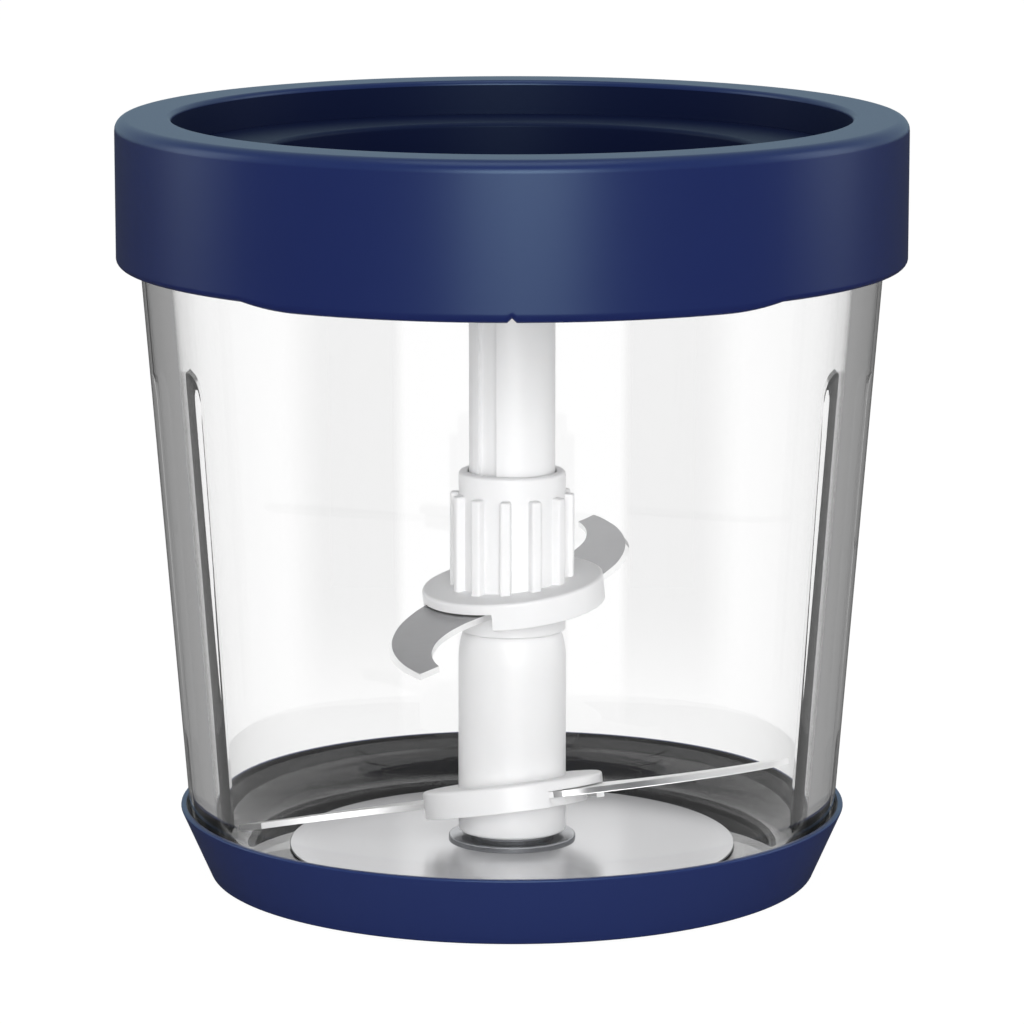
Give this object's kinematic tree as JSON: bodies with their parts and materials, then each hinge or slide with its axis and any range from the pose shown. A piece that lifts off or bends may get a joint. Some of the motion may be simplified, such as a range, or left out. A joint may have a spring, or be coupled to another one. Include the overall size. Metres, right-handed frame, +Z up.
{
  "type": "food chopper",
  "caption": "Food chopper jar: thick glass bowl in a non-slip dish, recessed collar lid and a two-tier rotor of S-shaped blades on a steel spindle.",
  "frame": {"origin": "bottom centre of the dish, on the rotor's axis, where the object stands", "axes": "+Z up along the rotor's axis, -Y toward the viewer of the picture, +X to the right"},
  "size_m": [0.142, 0.142, 0.1387],
  "materials": {
    "navy_plastic": "satin moulded",
    "dark_navy_plastic": "satin moulded",
    "grip_rubber": "matte",
    "bowl_glass": "clear pressed",
    "polished_plate": "polished",
    "turned_steel": "turned",
    "blade_steel": "ground",
    "bronze": "sintered",
    "silicone": "matte",
    "white_plastic": "glossy moulded"
  },
  "bodies": {
    "base": {"base_dish": "navy_plastic", "grip_ring": "grip_rubber"},
    "bowl": {"glass_bowl": "bowl_glass", "floor_plate": "polished_plate", "spindle": "turned_steel", "spindle_grommet": "silicone", "under_gasket": "silicone", "under_washer": "turned_steel", "spindle_screw": "turned_steel"},
    "washer": {"thrust_washer": "bronze"},
    "rotor": {"lower_hub": "white_plastic", "lower_blade": "blade_steel", "lower_blade_plate": "white_plastic", "hub_bush_lower": "bronze", "hub_bush_upper": "bronze", "drive_socket": "turned_steel"},
    "upper_rotor": {"upper_hub": "white_plastic", "upper_blade": "blade_steel", "upper_blade_plate": "white_plastic"},
    "lid": {"lid_collar": "navy_plastic", "lid_deck": "dark_navy_plastic", "lid_gasket": "silicone", "lid_bush": "white_plastic", "shaft_seal": "silicone"}
  },
  "joints": [
    {"name": "bowl_lift", "type": "slide", "parent": "base", "child": "bowl", "axis": [0, 0, 1], "range_m": [0, 0.03]},
    {"name": "lid_lift", "type": "slide", "parent": "bowl", "child": "lid", "axis": [0, 0, 1], "range_m": [0, 0.2]},
    {"name": "rotor_spin", "type": "hinge", "parent": "bowl", "child": "washer", "pos_m": [0, 0, 0.0074], "axis": [0, 0, 1], "continuous": true},
    {"name": "rotor_lift", "type": "slide", "parent": "washer", "child": "rotor", "axis": [0, 0, 1], "range_m": [0, 0.06]},
    {"name": "upper_rotor_lift", "type": "slide", "parent": "rotor", "child": "upper_rotor", "axis": [0, 0, 1], "range_m": [0, 0.09]}
  ],
  "couplings": [
    {"joint": "rotor_lift", "follows": "lid_lift", "ratio": 0.3},
    {"joint": "upper_rotor_lift", "follows": "lid_lift", "ratio": 0.45}
  ]
}
